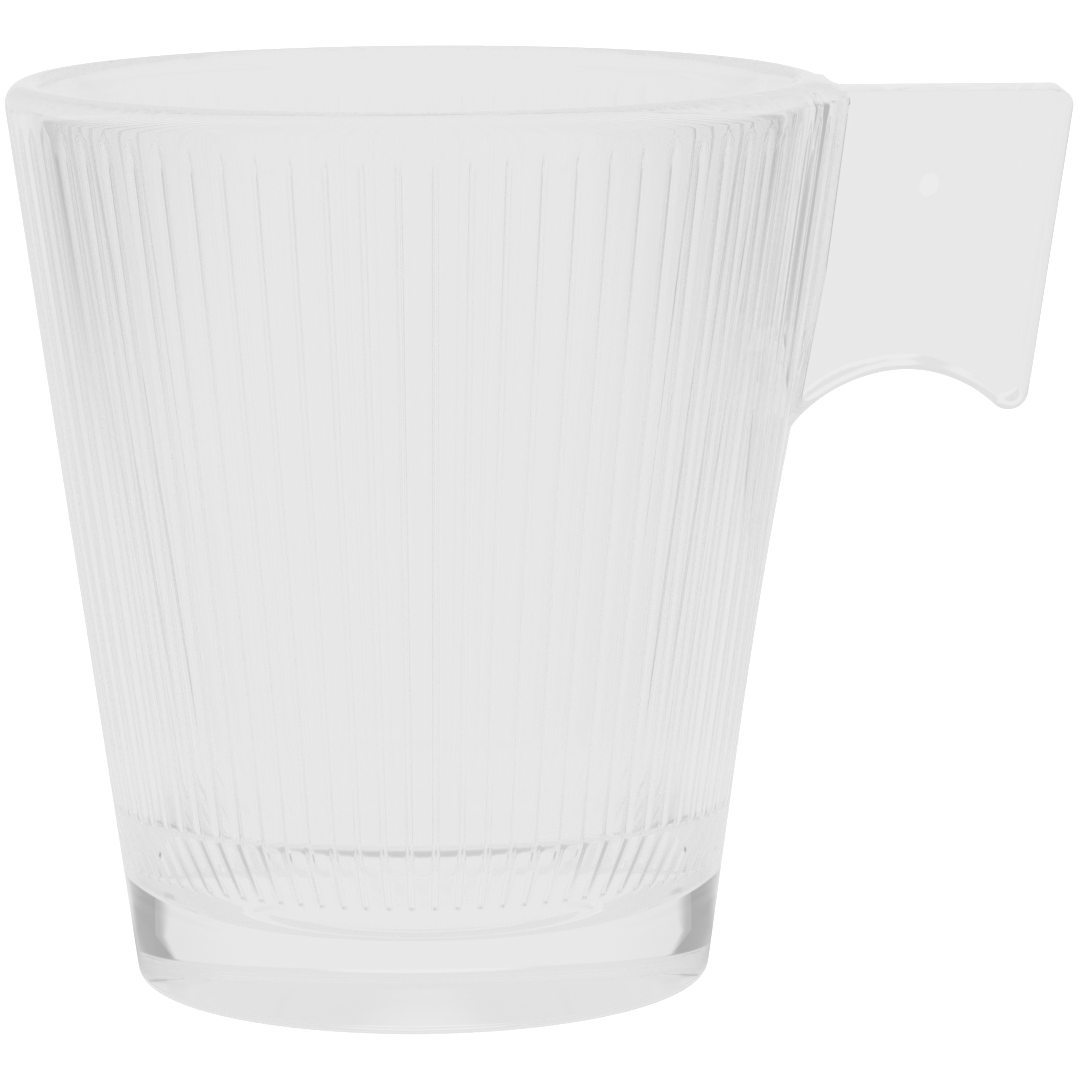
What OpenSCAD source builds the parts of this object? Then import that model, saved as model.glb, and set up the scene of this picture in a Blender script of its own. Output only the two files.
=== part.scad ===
// Espresso cup of clear pressed glass: a tapered cup with a plain outside, fine upright
// ribs on the inside of its bowl, a thick foot and a flat pinch handle beside the rim.
// Millimetres. The origin is the middle of the standing face, +Z is up, the handle
// points along +X.

/* [Cup] */
// Outer diameter of the taper, carried up to the top of the cup
rim_d = 60; // [54:0.5:80]
// Outer diameter of the taper, carried down to the standing face
foot_d = 42; // [36:0.5:52]
// Height of the cup
cup_h = 66.3; // [56:0.1:90]
// Depth of the plain band below the top of the rim
rim_band = 3.8; // [3:0.1:8]
// Rounding of the rim's outer edge
rim_round = 1.7; // [0.8:0.1:2]
// Rounding of the rim's inner edge
lip_round = 0.5; // [0.2:0.1:0.5]
// Rounding of the foot's edge
foot_round = 1.2; // [0.4:0.1:3]

/* [Bowl] */
// Thickness of the wall at the rim, measured level
rim_wall = 2.6; // [2.6:0.1:4]
// Thickness of the wall at the knee, measured level
knee_wall = 3.8; // [2.5:0.1:6]
// Height of the knee, where the wall of the bowl turns in towards the floor
knee_h = 13.3; // [12:0.1:20]
// How far the bevel below the knee runs inwards
bevel_in = 3; // [1:0.1:6]
// How far the bevel below the knee runs down
bevel_down = 4.4; // [2:0.1:5.5]
// Thickness of the base under the middle of the bowl
floor_t = 5.8; // [3:0.1:6.5]
// Radius of the curve from the bevel to the flat of the floor
dish_r = 12; // [8:0.5:20]

/* [Ribs] */
// Number of ribs around the bowl
rib_count = 68; // [24:2:80]
// Width of a rib
rib_w = 0.8; // [0.4:0.05:1]
// Height of a rib above the wall
rib_t = 0.35; // [0.2:0.05:0.6]
// Length over which a rib rises from the wall at either end
rib_runout = 0.8; // [0.4:0.1:2]

/* [Handle] */
// Reach of the handle's outer edge from the cup's axis, at the top
handle_reach = 47.5; // [42:0.5:60]
// Reach of the handle's outer edge from the cup's axis, at the tip
tip_reach = 44.1; // [40:0.5:56]
// Thickness of the handle
handle_t = 8; // [6:0.5:12]
// Drop of the handle's top below the top of the rim
handle_drop = 1; // [0.6:0.1:6]
// Height of the handle, top to tip
handle_h = 23.3; // [20:0.1:32]
// Radius of the corner at the top of the handle
corner_r = 1.2; // [1:0.1:4]
// Radius of the tip
tip_r = 1.5; // [1:0.1:3]
// Radius of the arch under the handle
arch_r = 9.5; // [8:0.5:14]
// Rise of the arch above the tip
arch_rise = 3; // [1:0.1:6]
// Rounding of the handle's edges
edge_round = 0.8; // [0.3:0.1:1]
// Radius of the finger scoop in each face of the handle
scoop_r = 8; // [4:0.1:10]
// Depth of the finger scoop
scoop_depth = 0.6; // [0.3:0.1:2]
// Distance from the handle's top to the upper end of the finger scoop
scoop_drop = 3.9; // [1.5:0.1:8]

/* [Hidden] */
$fn = 96;
glass = [0.9, 0.93, 0.93, 0.45];
// A cutter runs this far past the faces that it cuts
over = 1;
// Points on a quarter of a rounding
quarter_steps = 6;

// Heights of the levels where the pieces meet
band_z = cup_h - rim_band;
bevel_z = knee_h - bevel_down;

// Radius of the outer taper and of the bowl's wall at a height
taper = (rim_d - foot_d) / 2 / cup_h;
function outer_r(z) = foot_d / 2 + taper * z;
knee_r = outer_r(knee_h) - knee_wall;
bowl_top_r = outer_r(cup_h) - rim_wall;
bowl_taper = (bowl_top_r - knee_r) / (cup_h - knee_h);
function bowl_r(z) = knee_r + bowl_taper * (z - knee_h);

// Points on an arc about a centre, from one angle to another
function arc(centre, r, from, to, steps) =
    [for (i = [0 : steps]) let (a = from + (to - from) * i / steps) centre + r * [cos(a), sin(a)]];

// Rounded corners that run into the outer taper
lean = atan(taper);
foot_c = [outer_r(foot_round) - foot_round / cos(lean), foot_round];
rim_c = [outer_r(cup_h - rim_round) - rim_round / cos(lean), cup_h - rim_round];
foot_corner = arc(foot_c, foot_round, -90, -lean, quarter_steps);
rim_corner = arc(rim_c, rim_round, -lean, 90, quarter_steps);

// Rounded inner edge of the rim, which runs into the bowl's wall
bowl_lean = atan(bowl_taper);
lip_c = [bowl_r(cup_h - lip_round) + lip_round / cos(bowl_lean), cup_h - lip_round];
lip_corner = arc(lip_c, lip_round, 90, 180 - bowl_lean, quarter_steps);

// Foot of the bevel, and the curve from there to the flat of the floor
bevel_r = knee_r - bevel_in;
dish_rise = bevel_z - floor_t;
dish_angle = acos(1 - dish_rise / dish_r);
dish_c = [bevel_r - dish_r * sin(dish_angle), floor_t + dish_r];
dish = arc(dish_c, dish_r, -90 + dish_angle, -90, quarter_steps);

// Half sections, each turned about the axis
base_section = concat([[0, 0]], foot_corner,
    [[outer_r(knee_h), knee_h], [knee_r, knee_h]], dish, [[0, floor_t]]);
rim_section = concat([[bowl_r(band_z), band_z], [outer_r(band_z), band_z]], rim_corner, lip_corner);
cup_section = concat([[0, 0]], foot_corner, rim_corner, [[0, cup_h]]);
rib_section = [
    [bowl_r(band_z), band_z],
    [knee_r, knee_h],
    [bevel_r, bevel_z],
    [bevel_r - rib_t, bevel_z + rib_runout],
    [knee_r - rib_t, knee_h],
    [bowl_r(band_z - rib_runout) - rib_t, band_z - rib_runout],
];

// Radius that lies inside every rib
rib_in = bevel_r - 2 * rib_t;

// Outline of the handle, seen along +Y
handle_top = cup_h - handle_drop;
tip_z = handle_top - handle_h;
edge_taper = (handle_reach - tip_reach) / handle_h;
edge_lean = atan(edge_taper);
function edge_x(z) = tip_reach + edge_taper * (z - tip_z);
corner_c = [edge_x(handle_top - corner_r) - corner_r / cos(edge_lean), handle_top - corner_r];
tip_c = [edge_x(tip_z + tip_r) - tip_r / cos(edge_lean), tip_z + tip_r];
arch_z = tip_z + arch_rise - arch_r;
arch_meet = asin((tip_c[1] - arch_z) / (arch_r + tip_r));
arch_c = [tip_c[0] - (arch_r + tip_r) * cos(arch_meet), arch_z];
handle_outline = concat(
    [[arch_c[0] - arch_r, handle_top]],
    arc(corner_c, corner_r, 90, -edge_lean, quarter_steps),
    arc(tip_c, tip_r, -edge_lean, arch_meet - 180, quarter_steps),
    arc(arch_c, arch_r, arch_meet, 180, 3 * quarter_steps));

// Middle of the ball that ends the scoop, and the length of the scoop below it
scoop_chord = sqrt(2 * scoop_r * scoop_depth - scoop_depth * scoop_depth);
scoop_z = handle_top - scoop_drop - scoop_chord;
scoop_x = arch_c[0] + edge_taper * (scoop_z - (tip_z + arch_rise));
scoop_y = handle_t / 2 + scoop_r - scoop_depth;
scoop_l = handle_h;

// Solid outside of the cup, for cutting what meets it
module cup_outside() {
    rotate_extrude() polygon(cup_section);
}

// Finger scoop in one face of the handle: a round groove with a ball end
module scoop(side) {
    translate([scoop_x, side * scoop_y, scoop_z]) {
        sphere(scoop_r);
        rotate([0, 180 + edge_lean, 0]) cylinder(h = scoop_l, r = scoop_r);
    }
}

// Thick foot with the floor of the bowl
module base() {
    color(glass) rotate_extrude() polygon(base_section);
}

// Tapered wall between the foot and the rim
module wall() {
    color(glass) difference() {
        translate([0, 0, knee_h])
            cylinder(h = band_z - knee_h, r1 = outer_r(knee_h), r2 = outer_r(band_z));
        translate([0, 0, knee_h - over])
            cylinder(h = band_z - knee_h + 2 * over, r1 = bowl_r(knee_h - over), r2 = bowl_r(band_z + over));
    }
}

// Plain rounded band around the mouth
module rim() {
    color(glass) rotate_extrude() polygon(rim_section);
}

// Fine upright ribs on the inside of the bowl, with a gap in line with the handle
module ribs() {
    pitch = 360 / rib_count;
    color(glass) intersection() {
        rotate_extrude() polygon(rib_section);
        for (i = [0 : rib_count - 1])
            rotate((i + 0.5) * pitch) translate([rib_in, -rib_w / 2, 0]) cube([rim_d / 2, rib_w, cup_h]);
    }
}

// Flat pinch handle with a finger scoop in each face and an arched lower edge
module handle() {
    color(glass) difference() {
        minkowski() {
            rotate([90, 0, 0])
                linear_extrude(handle_t - 2 * edge_round, center = true)
                    offset(delta = -edge_round) polygon(handle_outline);
            sphere(edge_round, $fn = 16);
        }
        scoop(-1);
        scoop(1);
        cup_outside();
    }
}

base();
wall();
rim();
ribs();
handle();
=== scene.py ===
"""Looks of the espresso cup: one clear pressing of glass on a pale studio floor.

The cup is turned from a half section in millimetres, with its fine ribs worked into the bowl,
and the handle is a thick plate with a finger scoop in each face. Lengths are in millimetres
until a mesh is made, and +X points to the handle, +Z up, +Y away from the camera.
"""
import math

import bmesh
import bpy
import numpy as np
from mathutils import Matrix, Vector
from mathutils.geometry import delaunay_2d_cdt


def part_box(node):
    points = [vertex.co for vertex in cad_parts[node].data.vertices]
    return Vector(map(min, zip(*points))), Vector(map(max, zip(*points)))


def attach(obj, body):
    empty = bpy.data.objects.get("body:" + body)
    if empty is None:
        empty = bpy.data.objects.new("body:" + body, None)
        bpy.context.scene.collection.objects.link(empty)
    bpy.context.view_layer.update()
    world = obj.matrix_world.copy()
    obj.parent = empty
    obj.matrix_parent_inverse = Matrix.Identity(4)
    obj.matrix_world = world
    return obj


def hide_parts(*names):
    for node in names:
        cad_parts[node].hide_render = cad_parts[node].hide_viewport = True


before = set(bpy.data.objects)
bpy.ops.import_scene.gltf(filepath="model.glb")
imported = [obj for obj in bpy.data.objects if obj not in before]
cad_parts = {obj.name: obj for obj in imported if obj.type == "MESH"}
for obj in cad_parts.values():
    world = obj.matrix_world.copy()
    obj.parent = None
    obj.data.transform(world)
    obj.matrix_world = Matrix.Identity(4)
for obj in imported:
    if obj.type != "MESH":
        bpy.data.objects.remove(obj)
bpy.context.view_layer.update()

MM = 0.001

# Levels and radii that the frame gives
CUP_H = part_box("rim")[1].z / MM
BAND_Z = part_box("rim")[0].z / MM
KNEE_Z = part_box("base")[1].z / MM
BEVEL_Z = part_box("ribs")[0].z / MM
HANDLE_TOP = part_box("handle")[1].z / MM
HANDLE_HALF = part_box("handle")[1].y / MM
KNEE_OUTER_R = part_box("base")[1].x / MM
BAND_OUTER_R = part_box("wall")[1].x / MM

# Outside: its taper, its rounded edges and the steps of its half section
TAPER = (BAND_OUTER_R - KNEE_OUTER_R) / (BAND_Z - KNEE_Z)
LEAN = math.atan(TAPER)
RIM_ROUND = 1.6
LIP_ROUND = 0.85
FOOT_ROUND = 1.0
RIM_STEPS = 20
LIP_STEPS = 14
FOOT_STEPS = 12
UNDER_STEPS = 6
BASE_STEPS = 8
WALL_STEPS = 16
BAND_STEPS = 3
UNDER_HUB_R = 2.0

# Bowl: its wall, knee, bevel and dished floor, and the steps of its half section
RIM_WALL = 2.6
KNEE_WALL = 3.8
KNEE_ROUND = 2.6
CREASE = 0.25
BEVEL_IN = 3.0
FLOOR_T = 5.8
DISH_R = 12.0
LIP_DROP = 1.2
SEAM_UP = 0.8
FLOOR_FLAT = 0.7
FLOOR_HUB_R = 1.5
KNEE_STEPS = 14
CREASE_STEPS = 6
CREASE_CLEAR = 1.2
DISH_STEPS = 40
LIP_WALL_STEPS = 14
RIB_TOP_STEPS = 6
BOWL_STEPS = 12
SEAM_STEPS = 3
BEVEL_STEPS = 12
HUB_STEPS = 3

# Ribs
RIB_COUNT = 68
RIB_W = 0.6
RIB_T = 0.24
RIB_START = 1.6
RIB_FADE = 2.4
RIB_TOE = 0.35
PANEL_COLUMNS = 3
BEAD_STEPS = 8

# Handle
HANDLE_H = 23.3
TIP_Z = HANDLE_TOP - HANDLE_H
TOP_REACH = 47.65
TIP_REACH = 44.15
CORNER_R = 1.1
TIP_R = 1.5
ARCH_R = 9.2
ARCH_LEFT_R = 10.8
ARCH_RISE = 2.95
EDGE_ROUND = 0.9
SCOOP_HALF = 4.2
SCOOP_DEPTH = 0.42
SCOOP_DROP = 3.6
SCOOP_RUN = 6.5
ROOT_FLARE = 0.45
ROOT_FLARE_LOW = 0.5
ROOT_FLARE_Z = (TIP_Z + 1.5, HANDLE_TOP - 0.7)
ROOT_SLOPE = 1.0
ROOT_SOFT = 0.12
ROOT_BACK = 1.0
ROOT_DEPTH = 2.2
CORNER_STEPS = 14
TIP_STEPS = 18
ARCH_STEPS = 30
ARCH_LEFT_STEPS = 40
TOP_STEPS = 70
EDGE_STEPS = 60
ROOT_STEPS = 60
EDGE_RINGS = 8

# Points of a handle face: rows along the root's slope, and a plain grid beyond them
ROOT_ROWS = 14
ROOT_BAND = 0.5
GRID_STEP = 0.3
GRID_CLEAR = 0.6 * GRID_STEP
ROW_MARGIN = 0.3 * GRID_STEP
GRID_MARGIN = 0.5 * GRID_STEP


def eased(share):
    """A share from 0 to 1 that starts and ends softly."""
    return share * share * (3 - 2 * share)


def hump(place):
    """A soft hump: 1 in the middle, and 0 from one unit off it to either side."""
    return 0.5 + 0.5 * np.cos(math.pi * np.clip(place, -1, 1))


def outer_r(z):
    """Radius of the outer taper at a height."""
    return KNEE_OUTER_R + TAPER * (z - KNEE_Z)


# The wall swells where it carries the handle, in a tail that runs out below it
SWELL = 1.6
SWELL_POWER = 2
SWELL_HALF = 11.0
SWELL_FOOT = 17.0
SWELL_FULL = 52.0
SWELL_END = CUP_H + 0.4
SWELL_FADE = 2.0


def swell(y, z):
    """How far the outside stands proud of the plain taper, by place across the handle and height."""
    rise = np.clip((z - SWELL_FOOT) / (SWELL_FULL - SWELL_FOOT), 0, 1) ** SWELL_POWER
    top = np.clip((SWELL_END - z) / SWELL_FADE, 0, 1)
    return SWELL * rise * eased(top) * hump(y / SWELL_HALF)


KNEE_R = outer_r(KNEE_Z) - KNEE_WALL
BOWL_TAPER = (outer_r(CUP_H) - RIM_WALL - KNEE_R) / (CUP_H - KNEE_Z)
BOWL_LEAN = math.atan(BOWL_TAPER)
BEVEL_R = KNEE_R - BEVEL_IN
SEAM_Z = KNEE_Z + SEAM_UP


def bowl_r(z):
    """Radius of the bowl's straight wall at a height."""
    return KNEE_R + BOWL_TAPER * (z - KNEE_Z)


def arc(centre, r, start, end, steps):
    """Points on an arc about a centre, with angles in radians."""
    angles = np.linspace(start, end, steps + 1)
    return np.stack([centre[0] + r * np.cos(angles), centre[1] + r * np.sin(angles)], -1)


def line(a, b, steps):
    """Points from a to b, without b."""
    share = np.linspace(0, 1, steps, endpoint=False)[:, None]
    return np.asarray(a) * (1 - share) + np.asarray(b) * share


def outer_section():
    """Half section of the outside, from the middle of the foot to the lip."""
    foot_c = (outer_r(FOOT_ROUND) - FOOT_ROUND / math.cos(LEAN), FOOT_ROUND)
    rim_c = (outer_r(CUP_H - RIM_ROUND) - RIM_ROUND / math.cos(LEAN), CUP_H - RIM_ROUND)
    lip_z = CUP_H - LIP_ROUND
    lip_c = (bowl_r(lip_z) + LIP_ROUND / math.cos(BOWL_LEAN), lip_z)
    seam = (outer_r(SEAM_Z), SEAM_Z)
    band = (outer_r(BAND_Z), BAND_Z)
    foot = arc(foot_c, FOOT_ROUND, -math.pi / 2, -LEAN, FOOT_STEPS)
    rim = arc(rim_c, RIM_ROUND, -LEAN, math.pi / 2, RIM_STEPS)
    lip = arc(lip_c, LIP_ROUND, math.pi / 2, math.pi - BOWL_LEAN, LIP_STEPS)
    return np.concatenate([
        line((UNDER_HUB_R, 0.0), foot[0], UNDER_STEPS),
        foot[:-1],
        line(foot[-1], seam, BASE_STEPS),
        line(seam, band, WALL_STEPS),
        line(band, rim[0], BAND_STEPS),
        rim[:-1],
        line(rim[-1], lip[0], 1),
        lip,
    ])


def unit(vector):
    """A vector brought to length one."""
    return vector / np.linalg.norm(vector)


KNEE = np.array([KNEE_R, KNEE_Z])
RIB_TOP = np.array([bowl_r(BAND_Z), BAND_Z])
BEVEL_FOOT = np.array([BEVEL_R, BEVEL_Z])
WALL_WAY = unit(RIB_TOP - KNEE)
BEVEL_WAY = unit(BEVEL_FOOT - KNEE)


def knee_points():
    """Rounding between the bowl's straight wall and the bevel below it."""
    turn = math.pi - math.acos(float(WALL_WAY @ BEVEL_WAY))
    top = KNEE + WALL_WAY * KNEE_ROUND * math.tan(turn / 2)
    inward = np.array([-WALL_WAY[1], WALL_WAY[0]])
    centre = top + inward * KNEE_ROUND
    start = math.atan2(*(top - centre)[::-1])
    return arc(centre, KNEE_ROUND, start, start - turn, KNEE_STEPS)


def dish_points():
    """The dished floor, from the bevel's foot to the flat middle."""
    angle = math.acos(1 - (BEVEL_Z - FLOOR_T) / DISH_R)
    centre = (BEVEL_R - DISH_R * math.sin(angle), FLOOR_T + DISH_R)
    return arc(centre, DISH_R, angle - math.pi / 2, -math.pi / 2, DISH_STEPS)


def soft_bend(before, corner, after):
    """A soft bend from a point before a corner to a point after it."""
    share = np.linspace(0, 1, CREASE_STEPS + 1)[:, None]
    return (1 - share) ** 2 * before + 2 * share * (1 - share) * corner + share**2 * after


def bowl_section():
    """Half section of the bowl, from below the lip to the middle of the floor."""
    knee = knee_points()
    dish = dish_points()
    from_bevel = BEVEL_FOOT - BEVEL_WAY * CREASE
    to_dish = BEVEL_FOOT + unit(dish[1] - dish[0]) * CREASE
    dish = dish[np.linalg.norm(dish - BEVEL_FOOT, axis=1) > CREASE_CLEAR * CREASE]
    lip_z = CUP_H - LIP_DROP
    below_top = RIB_TOP - WALL_WAY * (RIB_FADE - RIB_START)
    seam = (bowl_r(SEAM_Z), SEAM_Z)
    return np.concatenate([
        line((bowl_r(lip_z), lip_z), RIB_TOP, LIP_WALL_STEPS),
        line(RIB_TOP, below_top, RIB_TOP_STEPS),
        line(below_top, seam, BOWL_STEPS),
        line(seam, knee[0], SEAM_STEPS),
        knee[:-1],
        line(knee[-1], from_bevel, BEVEL_STEPS),
        soft_bend(from_bevel, BEVEL_FOOT, to_dish),
        dish,
        line((dish[-1][0] * FLOOR_FLAT, FLOOR_T), (FLOOR_HUB_R, FLOOR_T), HUB_STEPS),
    ])


def rib_height(across):
    """Height of the soft bead of a rib at a distance across from its middle."""
    return RIB_T * hump(2 * across / RIB_W)


def bowl_rings(section):
    """Rings of the bowl with the ribs worked in: an array of rings by columns by xyz."""
    pitch = 2 * math.pi / RIB_COUNT
    half = RIB_W / 2
    bead = np.linspace(-half, half, BEAD_STEPS + 1)
    step = np.gradient(section, axis=0)
    step /= np.linalg.norm(step, axis=1)[:, None]
    inward = np.stack([step[:, 1], -step[:, 0]], -1)
    along = np.concatenate([[0], np.cumsum(np.linalg.norm(np.diff(section, axis=0), axis=1))])
    first = np.interp(-BAND_Z, -section[:, 1], along) - RIB_START
    last = along[int(np.argmin(np.hypot(section[:, 0] - BEVEL_R, section[:, 1] - BEVEL_Z)))]
    inside = np.clip(np.minimum((along - first) / RIB_FADE, (last + RIB_TOE - along) / RIB_TOE), 0, 1)
    shares = eased(inside)
    rings = []
    for (r, z), n, share in zip(section, inward, shares):
        spread = max(r, BEVEL_R)
        gap = np.linspace(bead[-1], pitch * spread + bead[0], PANEL_COLUMNS + 2)[1:-1]
        across = np.concatenate([bead, gap])
        height = rib_height(across) * share
        angle = ((np.arange(RIB_COUNT) + 0.5) * pitch)[:, None] + (across / spread)[None, :]
        radius = r + n[0] * height
        level = z + n[1] * height
        ring = np.stack([radius * np.cos(angle), radius * np.sin(angle), level + 0 * angle], -1)
        rings.append(ring.reshape(-1, 3))
    return np.stack(rings)


def plain_rings(section, like):
    """Plain rings with the same columns as another ring."""
    count = like.shape[0]
    start = math.atan2(like[0, 1], like[0, 0])
    angle = start + np.arange(count) * 2 * math.pi / count
    rings = []
    for r, z in section:
        radius = r + np.where(np.cos(angle) > 0, swell(r * np.sin(angle), z), 0)
        rings.append(np.stack([radius * np.cos(angle), radius * np.sin(angle), np.full(count, z)], -1))
    return np.stack(rings)


def mesh_object(name, points, faces):
    """A smooth mesh object from points in millimetres."""
    mesh = bpy.data.meshes.new(name)
    mesh.from_pydata((np.asarray(points) * MM).tolist(), [], faces)
    mesh.shade_smooth()
    obj = bpy.data.objects.new(name, mesh)
    bpy.context.scene.collection.objects.link(obj)
    return obj


def turned_cup():
    """The closed cup without its handle."""
    bowl = bowl_rings(bowl_section())
    outside = plain_rings(outer_section(), bowl[0])
    rings = np.concatenate([outside, bowl])
    count = rings.shape[1]
    points = rings.reshape(-1, 3)
    faces = []
    for k in range(len(rings) - 1):
        low, high = k * count, (k + 1) * count
        for i in range(count):
            j = (i + 1) % count
            faces.append((low + i, low + j, high + j, high + i))
    under = len(points)
    floor = under + 1
    points = np.concatenate([points, [[0, 0, 0], [0, 0, FLOOR_T]]])
    last = (len(rings) - 1) * count
    for i in range(count):
        j = (i + 1) % count
        faces.append((under, j, i))
        faces.append((floor, last + i, last + j))
    return mesh_object("cup_body", points, faces)


# Outline of the handle
EDGE_TAPER = (TOP_REACH - TIP_REACH) / (HANDLE_TOP - TIP_Z)
EDGE_LEAN = math.atan(EDGE_TAPER)


def edge_x(z):
    """Reach of the handle's outer edge at a height."""
    return TIP_REACH + EDGE_TAPER * (z - TIP_Z)


CORNER_C = (edge_x(HANDLE_TOP - CORNER_R) - CORNER_R / math.cos(EDGE_LEAN), HANDLE_TOP - CORNER_R)
TIP_C = (edge_x(TIP_Z + TIP_R) - TIP_R / math.cos(EDGE_LEAN), TIP_Z + TIP_R)
ARCH_Z = TIP_Z + ARCH_RISE - ARCH_R
ARCH_MEET = math.asin((TIP_C[1] - ARCH_Z) / (ARCH_R + TIP_R))
ARCH_C = (TIP_C[0] - (ARCH_R + TIP_R) * math.cos(ARCH_MEET), ARCH_Z)
ARCH_LEFT_C = (ARCH_C[0], TIP_Z + ARCH_RISE - ARCH_LEFT_R)
ARCH_END = math.radians(142)
ROOT_X = outer_r(HANDLE_TOP) - ROOT_DEPTH
TOP_RISE = 1.6
TOP_RISE_LEFT = 0.2 * TOP_RISE
TOP_RISE_X = outer_r(HANDLE_TOP) - 0.35


def handle_outline(inset):
    """Outline of the handle drawn in by an inset, from the top at the wall to the arch at the wall."""
    top = HANDLE_TOP - inset
    corner = arc(CORNER_C, CORNER_R - inset, math.pi / 2, -EDGE_LEAN, CORNER_STEPS)
    tip = arc(TIP_C, TIP_R - inset, -EDGE_LEAN, ARCH_MEET - math.pi, TIP_STEPS)
    arch = arc(ARCH_C, ARCH_R + inset, ARCH_MEET, math.pi / 2, ARCH_STEPS)
    arch_left = arc(ARCH_LEFT_C, ARCH_LEFT_R + inset, math.pi / 2, ARCH_END, ARCH_LEFT_STEPS)
    upper = line((ROOT_X, top), corner[0], TOP_STEPS)
    left = TOP_RISE - np.clip(upper[:, 0] - TOP_RISE_X, TOP_RISE_LEFT, TOP_RISE)
    upper[:, 1] += TOP_RISE - np.sqrt(TOP_RISE**2 - left**2)
    return np.concatenate([
        upper,
        corner[:-1],
        line(corner[-1], tip[0], EDGE_STEPS),
        tip[:-1],
        arch[:-1],
        arch_left,
    ])


def root_x(z):
    """Where the handle's plain faces meet the cup's outside, by the height."""
    return np.sqrt((outer_r(z) + swell(HANDLE_HALF, z)) ** 2 - HANDLE_HALF**2)


def root_flare(z):
    """Reach of the slope between a handle face and the cup, by the height."""
    return np.interp(z, ROOT_FLARE_Z, (ROOT_FLARE_LOW, ROOT_FLARE))


def half_thickness(x, z):
    """Half the handle's thickness at a place on its outline's plane."""
    low_z = TIP_Z + ARCH_RISE
    way = np.array([math.sin(EDGE_LEAN), math.cos(EDGE_LEAN)])
    dx, dz = x - ARCH_C[0], z - low_z
    along = dx * way[0] + dz * way[1]
    across = dx * way[1] - dz * way[0]
    end = HANDLE_TOP - SCOOP_DROP - low_z
    run = np.clip((end - along) / SCOOP_RUN, 0, 1)
    scoop = SCOOP_DEPTH * eased(run) * hump(across / SCOOP_HALF)
    left = root_flare(z) - np.maximum(x - root_x(z), -ROOT_BACK)
    rise = 0.5 * (left + np.sqrt(left**2 + ROOT_SOFT**2))
    return HANDLE_HALF + ROOT_SLOPE * rise - scoop


TINY = 1e-12


def inside_polygon(points, polygon, margin):
    """Which points lie inside a polygon, at least a margin from its edges."""
    inside = np.zeros(len(points), bool)
    near = np.full(len(points), np.inf)
    for a, b in zip(polygon, np.roll(polygon, -1, 0)):
        crosses = (a[1] > points[:, 1]) != (b[1] > points[:, 1])
        rise = b[1] - a[1] if abs(b[1] - a[1]) > TINY else TINY
        at = a[0] + (points[:, 1] - a[1]) * (b[0] - a[0]) / rise
        inside ^= crosses & (points[:, 0] < at)
        span = b - a
        share = np.clip(((points - a) @ span) / max(span @ span, TINY), 0, 1)
        near = np.minimum(near, np.linalg.norm(points - a - share[:, None] * span, axis=1))
    return inside & (near > margin)


def face_points(border):
    """Points of a handle face inside its border: rows along the root's slope, and a plain grid."""
    zs = np.arange(TIP_Z, HANDLE_TOP + TOP_RISE, GRID_STEP)
    offsets = np.linspace(-ROOT_BAND, ROOT_BAND, ROOT_ROWS)
    rows = np.array([(root_x(z) + root_flare(z) + d, z) for z in zs for d in offsets])
    xs = np.arange(root_x(TIP_Z), TOP_REACH, GRID_STEP)
    grid = np.array([(x, z) for x in xs for z in zs])
    near = root_x(grid[:, 1]) + root_flare(grid[:, 1]) + ROOT_BAND + GRID_CLEAR
    grid = grid[grid[:, 0] > near]
    return np.concatenate([
        rows[inside_polygon(rows, border, ROW_MARGIN)],
        grid[inside_polygon(grid, border, GRID_MARGIN)],
    ])


# What the triangulation returns, and how near two of its points may lie
INSIDE_ONLY = 1
MERGE = 1e-7


def filled_face(flat, border):
    """Triangles of a handle face inside its border, and the points that they add."""
    ring = list(range(len(border)))
    local = np.concatenate([flat[border], face_points(flat[border])])
    edges = [(i, (i + 1) % len(border)) for i in ring]
    out = delaunay_2d_cdt([Vector(p) for p in local], edges, [ring], INSIDE_ONLY, MERGE)
    names = []
    added = []
    for place, sources in zip(out[0], out[3]):
        if sources and sources[0] < len(border):
            names.append(border[sources[0]])
        else:
            names.append(len(flat) + len(added))
            added.append(tuple(place))
    return [tuple(names[i] for i in triangle) for triangle in out[2]], np.array(added)


def handle_plate():
    """The closed handle, whose root end lies inside the cup's wall."""
    turns = np.linspace(0, math.pi / 2, EDGE_RINGS)
    rings = [handle_outline(inset) for inset in EDGE_ROUND * (1 - np.cos(turns))]
    count = len(rings[0])
    flat = np.concatenate(rings)
    drop = np.repeat(EDGE_ROUND * (1 - np.sin(turns)), count)
    faces = []
    for k in range(EDGE_RINGS - 1):
        for a in range(k * count, (k + 1) * count - 1):
            faces.append((a, a + count, a + count + 1, a + 1))
    inner = list(range(len(flat) - count, len(flat)))
    root = line(flat[inner[-1]], flat[inner[0]], ROOT_STEPS)[1:]
    root_ids = list(range(len(flat), len(flat) + len(root)))
    flat = np.concatenate([flat, root])
    triangles, added = filled_face(flat, inner + root_ids)
    faces += triangles
    flat = np.concatenate([flat, added])
    drop = np.concatenate([drop, np.zeros(len(flat) - len(drop))])
    half = half_thickness(flat[:, 0], flat[:, 1]) - drop
    front = np.stack([flat[:, 0], -half, flat[:, 1]], -1)
    back = np.stack([flat[:, 0], half, flat[:, 1]], -1)
    shift = len(front)
    turned = [tuple(i + shift for i in reversed(f)) for f in faces]
    top_stack = [k * count for k in range(EDGE_RINGS - 1, 0, -1)]
    end_stack = [k * count + count - 1 for k in range(1, EDGE_RINGS)]
    loop = list(range(count)) + end_stack + root_ids + top_stack
    band = [(a, b, b + shift, a + shift) for a, b in zip(loop, loop[1:] + loop[:1])]
    return mesh_object("handle_plate", np.concatenate([front, back]), faces + turned + band)


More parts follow.
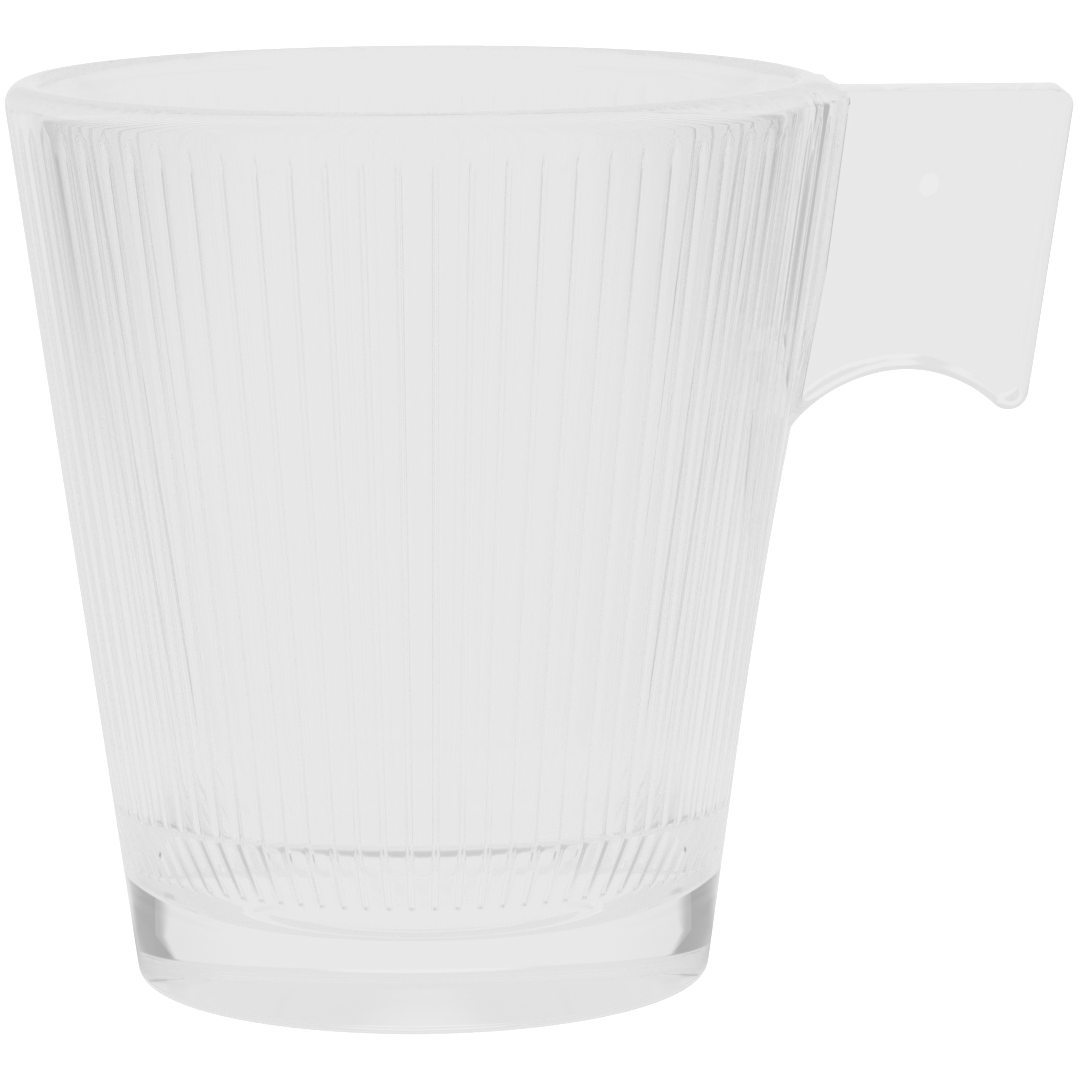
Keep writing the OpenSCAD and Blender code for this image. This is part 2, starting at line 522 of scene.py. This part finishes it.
def combined(a, b, operation):
    """The mesh of two closed objects joined or cut."""
    modifier = a.modifiers.new("combine", "BOOLEAN")
    modifier.operation = operation
    modifier.object = b
    modifier.solver = "MANIFOLD"
    bpy.context.view_layer.update()
    mesh = bpy.data.meshes.new_from_object(a.evaluated_get(bpy.context.evaluated_depsgraph_get()))
    a.modifiers.remove(modifier)
    return mesh


# Material slots of a piece: its glass, and the faces where it meets the next piece
GLASS, CONTACT = 0, 1
WELD = 1e-6
LEVEL_NEAR = 0.2


def kept(mesh, keep):
    """A copy of a mesh with only the faces that a rule keeps."""
    part = bmesh.new()
    part.from_mesh(mesh)
    bmesh.ops.delete(part, geom=[f for f in part.faces if not keep(f)], context="FACES")
    return part


def add_patch(piece, handle, keep):
    """Close a piece where the handle stands on it, with the handle's own root faces turned round."""
    patch = kept(handle, lambda f: f.material_index == CONTACT and keep(f))
    bmesh.ops.reverse_faces(patch, faces=patch.faces[:])
    carrier = bpy.data.meshes.new("patch")
    patch.to_mesh(carrier)
    patch.free()
    piece.from_mesh(carrier)
    bpy.data.meshes.remove(carrier)
    rim = {v for e in piece.edges if e.is_boundary for v in e.verts}
    bmesh.ops.remove_doubles(piece, verts=list(rim), dist=WELD)


def close_level(piece, level, facing):
    """Close the open ring between the outside and the bowl at a level."""
    def at_level(edge):
        return all(abs(v.co.z / MM - level) < LEVEL_NEAR for v in edge.verts)
    ring = [e for e in piece.edges if e.is_boundary and at_level(e)]
    made = bmesh.ops.triangle_fill(piece, edges=ring, use_beauty=False, normal=(0, 0, facing))
    for face in made["geom"]:
        if isinstance(face, bmesh.types.BMFace):
            face.normal_update()
            face.material_index = CONTACT
            if face.normal.z * facing < 0:
                face.normal_flip()


def finished_piece(name, piece, materials):
    """An object of a closed piece, smooth but for the edges of its contact faces."""
    for face in piece.faces:
        face.smooth = True
    for edge in piece.edges:
        indexes = {f.material_index for f in edge.link_faces}
        edge.smooth = len(indexes) < 2
    mesh = bpy.data.meshes.new(name)
    piece.to_mesh(mesh)
    piece.free()
    for material in materials:
        mesh.materials.append(material)
    obj = bpy.data.objects.new(name, mesh)
    bpy.context.scene.collection.objects.link(obj)
    return obj


def cup_pieces(materials):
    """Base, wall, rim and handle as closed pieces that meet face to face."""
    cup, plate = turned_cup(), handle_plate()
    for obj, index in ((cup, GLASS), (plate, CONTACT)):
        for material in materials:
            obj.data.materials.append(material)
        obj.data.polygons.foreach_set("material_index", [index] * len(obj.data.polygons))
    joined = combined(cup, plate, "UNION")
    handle = combined(plate, cup, "DIFFERENCE")
    turned = [CONTACT if f.material_index == GLASS else GLASS for f in handle.polygons]
    handle.polygons.foreach_set("material_index", turned)
    low, high = SEAM_Z * MM, BAND_Z * MM

    def level(face):
        return face.calc_center_median().z
    base = kept(joined, lambda f: level(f) < low)
    wall = kept(joined, lambda f: f.material_index == GLASS and low < level(f) < high)
    rim = kept(joined, lambda f: f.material_index == GLASS and level(f) > high)
    add_patch(wall, handle, lambda f: level(f) < high)
    add_patch(rim, handle, lambda f: level(f) > high)
    close_level(base, SEAM_Z, 1)
    close_level(wall, SEAM_Z, -1)
    close_level(wall, BAND_Z, 1)
    close_level(rim, BAND_Z, -1)
    grip = kept(handle, lambda f: True)
    for obj in (cup, plate):
        bpy.data.objects.remove(obj)
    return {name: finished_piece(name, piece, materials) for name, piece in
            (("glass_base", base), ("glass_wall", wall), ("glass_rim", rim), ("glass_handle", grip))}


def smooth_step(tree, value, start, end, low=0.0, high=1.0):
    """A smooth step of a socket's value from low to high."""
    node = tree.nodes.new("ShaderNodeMapRange")
    node.interpolation_type = "SMOOTHSTEP"
    for name, number in zip(("From Min", "From Max", "To Min", "To Max"), (start, end, low, high)):
        node.inputs[name].default_value = number
    tree.links.new(value, node.inputs["Value"])
    return node.outputs["Result"]


def math_node(tree, operation, *values):
    """A maths node of sockets and numbers."""
    node = tree.nodes.new("ShaderNodeMath")
    node.operation = operation
    for slot, value in zip(node.inputs, values):
        if isinstance(value, (int, float)):
            slot.default_value = value
        else:
            tree.links.new(value, slot)
    return node.outputs[0]


def blend_levels(tree, first, second, share):
    """A level between two levels, by a share."""
    node = tree.nodes.new("ShaderNodeMix")
    for slot, value in zip((node.inputs[0], node.inputs[2], node.inputs[3]), (share, first, second)):
        if isinstance(value, (int, float)):
            slot.default_value = value
        else:
            tree.links.new(value, slot)
    return node.outputs[0]


def distance(tree, a, b):
    """Length of a pair of sockets as a step on the floor."""
    squares = [math_node(tree, "MULTIPLY", value, value) for value in (a, b)]
    return math_node(tree, "SQRT", math_node(tree, "ADD", *squares))


GLASS_COLOUR = (0.993, 0.9917, 0.9922, 1)
GLASS_IOR = 1.52
GLASS_WAVE = 140.0
GLASS_WAVE_H = 0.003
GLASS_ROUGH = 0.012
GLASS_ROUGH_FROM = (0.55, 0.75)


def glass_material():
    """Clear pressed glass with a faint unevenness of its surface."""
    material = bpy.data.materials.new("clear_glass")
    material.use_nodes = True
    nodes, links = material.node_tree.nodes, material.node_tree.links
    shader = nodes["Principled BSDF"]
    shader.inputs["Base Color"].default_value = GLASS_COLOUR
    place = nodes.new("ShaderNodeTexCoord")
    wave = nodes.new("ShaderNodeTexNoise")
    wave.inputs["Scale"].default_value = GLASS_WAVE
    links.new(place.outputs["Object"], wave.inputs["Vector"])
    bump = nodes.new("ShaderNodeBump")
    bump.inputs["Distance"].default_value = GLASS_WAVE_H * MM
    links.new(wave.outputs["Fac"], bump.inputs["Height"])
    links.new(bump.outputs["Normal"], shader.inputs["Normal"])
    polish = smooth_step(material.node_tree, wave.outputs["Fac"], *GLASS_ROUGH_FROM, 0.0, GLASS_ROUGH)
    links.new(polish, shader.inputs["Roughness"])
    shader.inputs["IOR"].default_value = GLASS_IOR
    shader.inputs["Transmission Weight"].default_value = 1.0
    return material


# Floor: its levels of light, and the places where they change. The dimmer oval under the cup and the
# dimmer fields beside its foot are painted shadow in the floor's glow.
FLOOR_GLOW = 0.815
FLOOR_SIDE = 0.48
FLOOR_EDGE = (110.0, 220.0)
FLOOR_TURN = (0.67, 0.79)
# Painted shadow: the floor's glow drops in a soft oval under the cup, standing in for the cup's contact
# shadow
UNDER_SHADOW_LEVEL = 0.54
UNDER_PLACE = (0.0, 3.5)
UNDER_R = (2.5, 9.0)
UNDER_WIDE = 2.2
# Painted shade: the floor's glow drops in fields at both sides of the foot, standing in for shade near
# the foot
FOOT_SHADE = 0.50
FOOT_SHADE_X = (30.0, 60.0)
FOOT_SHADE_Y = (9.0, 22.0)
FOOT_SHADE_IN = (KNEE_OUTER_R - 2.0, KNEE_OUTER_R)
FLOOR_WHITE = 0.75
FLOOR_COLOUR = (0.8, 0.8, 0.8, 1)
FLOOR_SIZE = 12000.0
FLOOR_GAP = 0.15

# Sky: its levels of light, and the directions between which they change
SKY_LEVEL = 0.765
FLAG_LEVEL = 0.38
CAMERA_SIDE_LEVEL = 0.70
BACKDROP_LEVEL = 0.85
RIGHT_FLAG_START = (0.68, 0.78)
RIGHT_FLAG_END = (0.94, 0.99)
RIGHT_FLAG_AHEAD = (-0.1, 0.1)
LEFT_FLAG_END = (-0.78, -0.68)
LEFT_FLAG_AHEAD = (-0.6, -0.45)
FLAG_UP = (0.03, 0.11)
CAMERA_SIDE_AHEAD = (-0.85, -0.4)
CAMERA_SIDE_UP = (0.2, 0.32)
BACKDROP_AHEAD = (0.96, 0.985)
BOUNCES = 200


def soft_sky():
    """A soft white tent: a bright backdrop, a darker flag at each side, a dimmer side behind the camera.

    The levels show in the glass and light the floor. Looked at directly, the tent is plain white.
    """
    world = bpy.data.worlds.new("studio")
    world.use_nodes = True
    bpy.context.scene.world = world
    tree = world.node_tree
    tree.nodes["Background"].inputs["Color"].default_value = (1, 1, 1, 1)
    place = tree.nodes.new("ShaderNodeTexCoord")
    parts = tree.nodes.new("ShaderNodeSeparateXYZ")
    tree.links.new(place.outputs["Generated"], parts.inputs[0])
    up = parts.outputs["Z"]
    right = parts.outputs["X"]
    ahead = parts.outputs["Y"]
    flag = smooth_step(tree, right, *RIGHT_FLAG_START)
    flag = math_node(tree, "MULTIPLY", flag, smooth_step(tree, right, *RIGHT_FLAG_END, 1.0, 0.0))
    flag = math_node(tree, "MULTIPLY", flag, smooth_step(tree, ahead, *RIGHT_FLAG_AHEAD))
    flag_left = smooth_step(tree, right, *LEFT_FLAG_END, 1.0, 0.0)
    flag_left = math_node(tree, "MULTIPLY", flag_left, smooth_step(tree, ahead, *LEFT_FLAG_AHEAD))
    flag = math_node(tree, "ADD", flag, flag_left)
    flag = math_node(tree, "MULTIPLY", flag, smooth_step(tree, up, *FLAG_UP, 1.0, 0.0))
    near = smooth_step(tree, ahead, *CAMERA_SIDE_AHEAD, 1.0, 0.0)
    near = math_node(tree, "MULTIPLY", near, smooth_step(tree, up, *CAMERA_SIDE_UP))
    level = blend_levels(tree, SKY_LEVEL, CAMERA_SIDE_LEVEL, near)
    level = blend_levels(tree, level, FLAG_LEVEL, flag)
    behind = smooth_step(tree, ahead, *BACKDROP_AHEAD)
    level = blend_levels(tree, level, BACKDROP_LEVEL, behind)
    ray = tree.nodes.new("ShaderNodeLightPath")
    level = blend_levels(tree, level, 1.0, ray.outputs["Is Camera Ray"])
    tree.links.new(level, tree.nodes["Background"].inputs["Strength"])


def floor_level(tree):
    """How strongly the floor glows: less far out at the sides, and less under the cup and beside its
    foot, where the cup's contact shadow is painted into the glow.
    """
    place = tree.nodes.new("ShaderNodeNewGeometry")
    parts = tree.nodes.new("ShaderNodeSeparateXYZ")
    tree.links.new(place.outputs["Position"], parts.inputs[0])
    x = math_node(tree, "DIVIDE", parts.outputs["X"], MM)
    y = math_node(tree, "DIVIDE", parts.outputs["Y"], MM)
    aside = math_node(tree, "ABSOLUTE", x)
    out = distance(tree, x, y)
    side = smooth_step(tree, aside, *FLOOR_EDGE)
    side = math_node(tree, "MULTIPLY", side,
                     smooth_step(tree, math_node(tree, "DIVIDE", aside, out), *FLOOR_TURN))
    # Painted shadow under the cup: a soft oval, stretched across, where the floor's glow is dimmed
    off_x = math_node(tree, "DIVIDE", math_node(tree, "SUBTRACT", x, UNDER_PLACE[0]), UNDER_WIDE)
    off_y = math_node(tree, "SUBTRACT", y, UNDER_PLACE[1])
    under = smooth_step(tree, distance(tree, off_x, off_y), *UNDER_R, 1.0, 0.0)
    # Painted shade beside the foot: fields at both sides where the floor's glow is dimmed
    beside = smooth_step(tree, aside, *FOOT_SHADE_IN)
    beside = math_node(tree, "MULTIPLY", beside, smooth_step(tree, aside, *FOOT_SHADE_X, 1.0, 0.0))
    beside = math_node(tree, "MULTIPLY", beside,
                       smooth_step(tree, math_node(tree, "ABSOLUTE", y), *FOOT_SHADE_Y, 1.0, 0.0))
    level = blend_levels(tree, FLOOR_GLOW, FLOOR_SIDE, side)
    level = blend_levels(tree, level, UNDER_SHADOW_LEVEL, under)
    return blend_levels(tree, level, FOOT_SHADE, beside)


def pale_floor():
    """A floor that glows softly from below, as a light table does, but with a painted contact shadow
    under the cup and beside its foot.

    The glow shows in the glass. Looked at directly, the floor is an even white that the tent lights.
    """
    half = FLOOR_SIZE / 2
    corners = [(-half, -half), (half, -half), (half, half), (-half, half)]
    floor = mesh_object("floor", [(x, y, -FLOOR_GAP) for x, y in corners], [(0, 1, 2, 3)])
    material = bpy.data.materials.new("pale_floor")
    material.use_nodes = True
    tree = material.node_tree
    tree.nodes.remove(tree.nodes["Principled BSDF"])
    glow = tree.nodes.new("ShaderNodeEmission")
    tree.links.new(floor_level(tree), glow.inputs["Strength"])
    lit = tree.nodes.new("ShaderNodeBsdfDiffuse")
    lit.inputs["Color"].default_value = FLOOR_COLOUR
    white = tree.nodes.new("ShaderNodeEmission")
    white.inputs["Strength"].default_value = FLOOR_WHITE
    both = tree.nodes.new("ShaderNodeAddShader")
    tree.links.new(lit.outputs[0], both.inputs[0])
    tree.links.new(white.outputs[0], both.inputs[1])
    ray = tree.nodes.new("ShaderNodeLightPath")
    pick = tree.nodes.new("ShaderNodeMixShader")
    tree.links.new(ray.outputs["Is Camera Ray"], pick.inputs[0])
    tree.links.new(glow.outputs[0], pick.inputs[1])
    tree.links.new(both.outputs[0], pick.inputs[2])
    tree.links.new(pick.outputs[0], tree.nodes["Material Output"].inputs["Surface"])
    floor.data.materials.append(material)


def contact_material():
    """Faces where two pieces of one glass meet: nothing is seen there."""
    material = bpy.data.materials.new("glass_contact")
    material.use_nodes = True
    tree = material.node_tree
    tree.nodes.remove(tree.nodes["Principled BSDF"])
    clear = tree.nodes.new("ShaderNodeBsdfTransparent")
    tree.links.new(clear.outputs[0], tree.nodes["Material Output"].inputs["Surface"])
    return material


def studio():
    """Floor, light and enough bounces for thick glass."""
    scene = bpy.context.scene
    scene.view_settings.view_transform = "Standard"
    scene.cycles.max_bounces = BOUNCES
    scene.cycles.transmission_bounces = BOUNCES
    scene.cycles.glossy_bounces = BOUNCES
    scene.cycles.transparent_max_bounces = BOUNCES
    soft_sky()
    pale_floor()


CAMERA_PLACE = (0.0, -448.2, 104.46)
CAMERA_YAW = 0.01964
CAMERA_PITCH = 0.15986
CAMERA_ROLL = 0.00574
FOCAL_PX = 6186.4
FRAME_PX = 1080
SENSOR = 36.0
CLIP_START = 0.01


def photo_camera():
    """The camera fitted to the cup's outline in the photograph."""
    data = bpy.data.cameras.new("photo_camera")
    data.sensor_fit = "HORIZONTAL"
    data.sensor_width = SENSOR
    data.lens = FOCAL_PX / FRAME_PX * SENSOR
    data.clip_start = CLIP_START
    camera = bpy.data.objects.new("photo_camera", data)
    bpy.context.scene.collection.objects.link(camera)
    ahead = Vector((math.sin(CAMERA_YAW) * math.cos(CAMERA_PITCH),
                    math.cos(CAMERA_YAW) * math.cos(CAMERA_PITCH),
                    -math.sin(CAMERA_PITCH)))
    right = Vector((math.cos(CAMERA_YAW), -math.sin(CAMERA_YAW), 0))
    down = ahead.cross(right)
    c, s = math.cos(CAMERA_ROLL), math.sin(CAMERA_ROLL)
    right, down = c * right + s * down, c * down - s * right
    camera.matrix_world = Matrix.Translation(Vector(CAMERA_PLACE) * MM) @ Matrix((
        (right.x, -down.x, -ahead.x),
        (right.y, -down.y, -ahead.y),
        (right.z, -down.z, -ahead.z),
    )).to_4x4()
    bpy.context.scene.camera = camera


photo_camera()
studio()
made = cup_pieces([glass_material(), contact_material()])
STANDS_FOR = {
    "glass_base": ("base",),
    "glass_wall": ("wall", "ribs"),
    "glass_rim": ("rim",),
    "glass_handle": ("handle",),
}
for name, nodes in STANDS_FOR.items():
    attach(made[name], "root")
    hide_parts(*nodes)
